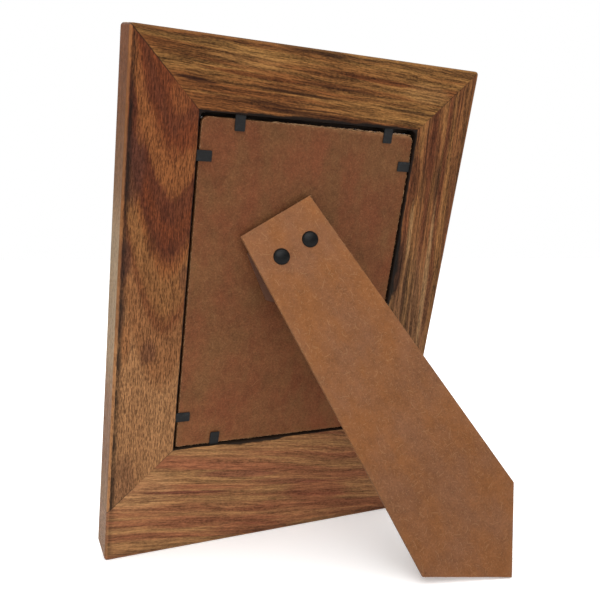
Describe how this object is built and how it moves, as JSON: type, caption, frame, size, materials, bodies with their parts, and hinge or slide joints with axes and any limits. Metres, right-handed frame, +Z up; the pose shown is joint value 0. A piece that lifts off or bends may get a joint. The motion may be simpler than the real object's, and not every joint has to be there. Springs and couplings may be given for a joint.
{
  "type": "easel back photo frame",
  "caption": "Tabletop wooden photo frame with a wide bottom rail, a hardboard back held by bendable tabs and a hinged hardboard strut that props it up.",
  "frame": {"origin": "on the table under the middle of the whole part, halfway between its front and the foot of the strut", "axes": "+Z up, +Y from the picture side towards the strut, +X to the right as seen from the front"},
  "size_m": [0.1664, 0.1165, 0.2359],
  "materials": {
    "stained_wood": "brown stain, satin oil, open pores",
    "hardboard": "matte pressed fibre",
    "clear_glass": "polished",
    "print_card": "smooth satin card",
    "black_steel": "black japanned, semi gloss",
    "bright_steel": "drawn wire",
    "pale_wood": "raw turned beech"
  },
  "bodies": {
    "frame": {"left_rail": "stained_wood", "right_rail": "stained_wood", "top_rail": "stained_wood", "bottom_rail": "stained_wood", "glass_pane": "clear_glass", "photo_print": "print_card", "backboard": "hardboard", "tab_points": "black_steel", "hinge_fixed_leaf": "black_steel", "hinge_pin": "bright_steel", "backboard_rivets": "black_steel", "corner_dowels": "pale_wood"},
    "strut": {"strut": "hardboard", "hinge_moving_leaf": "black_steel", "strut_rivets": "black_steel"},
    "tab_top_left": {"tab_top_left": "black_steel"},
    "tab_top_right": {"tab_top_right": "black_steel"},
    "tab_bottom_left": {"tab_bottom_left": "black_steel"},
    "tab_bottom_right": {"tab_bottom_right": "black_steel"},
    "tab_left_upper": {"tab_left_upper": "black_steel"},
    "tab_left_lower": {"tab_left_lower": "black_steel"},
    "tab_right_upper": {"tab_right_upper": "black_steel"},
    "tab_right_lower": {"tab_right_lower": "black_steel"}
  },
  "joints": [
    {"name": "strut_hinge", "type": "hinge", "parent": "frame", "child": "strut", "pos_m": [0.01149, 0.0039, 0.15641], "axis": [-0.8499, 0.1475, 0.5059], "range_deg": [0, 29.3]},
    {"name": "bend_top_left", "type": "hinge", "parent": "frame", "child": "tab_top_left", "pos_m": [0.03557, 0.01593, 0.20285], "axis": [-1, 0, 0], "range_deg": [-85, 0]},
    {"name": "bend_top_right", "type": "hinge", "parent": "frame", "child": "tab_top_right", "pos_m": [-0.03736, 0.01593, 0.20285], "axis": [-1, 0, 0], "range_deg": [-85, 0]},
    {"name": "bend_bottom_left", "type": "hinge", "parent": "frame", "child": "tab_bottom_left", "pos_m": [0.03346, -0.02731, 0.05452], "axis": [1, 0, 0], "range_deg": [-85, 0]},
    {"name": "bend_bottom_right", "type": "hinge", "parent": "frame", "child": "tab_bottom_right", "pos_m": [-0.04053, -0.02731, 0.05452], "axis": [1, 0, 0], "range_deg": [-85, 0]},
    {"name": "bend_left_upper", "type": "hinge", "parent": "frame", "child": "tab_left_upper", "pos_m": [0.05314, 0.01104, 0.18609], "axis": [0, 0.2799, 0.96], "range_deg": [-85, 0]},
    {"name": "bend_left_lower", "type": "hinge", "parent": "frame", "child": "tab_left_lower", "pos_m": [0.05314, -0.02286, 0.06979], "axis": [0, 0.2799, 0.96], "range_deg": [-85, 0]},
    {"name": "bend_right_upper", "type": "hinge", "parent": "frame", "child": "tab_right_upper", "pos_m": [-0.05176, 0.01126, 0.18683], "axis": [0, -0.2799, -0.96], "range_deg": [-85, 0]},
    {"name": "bend_right_lower", "type": "hinge", "parent": "frame", "child": "tab_right_lower", "pos_m": [-0.05176, -0.02308, 0.06905], "axis": [0, -0.2799, -0.96], "range_deg": [-85, 0]}
  ]
}
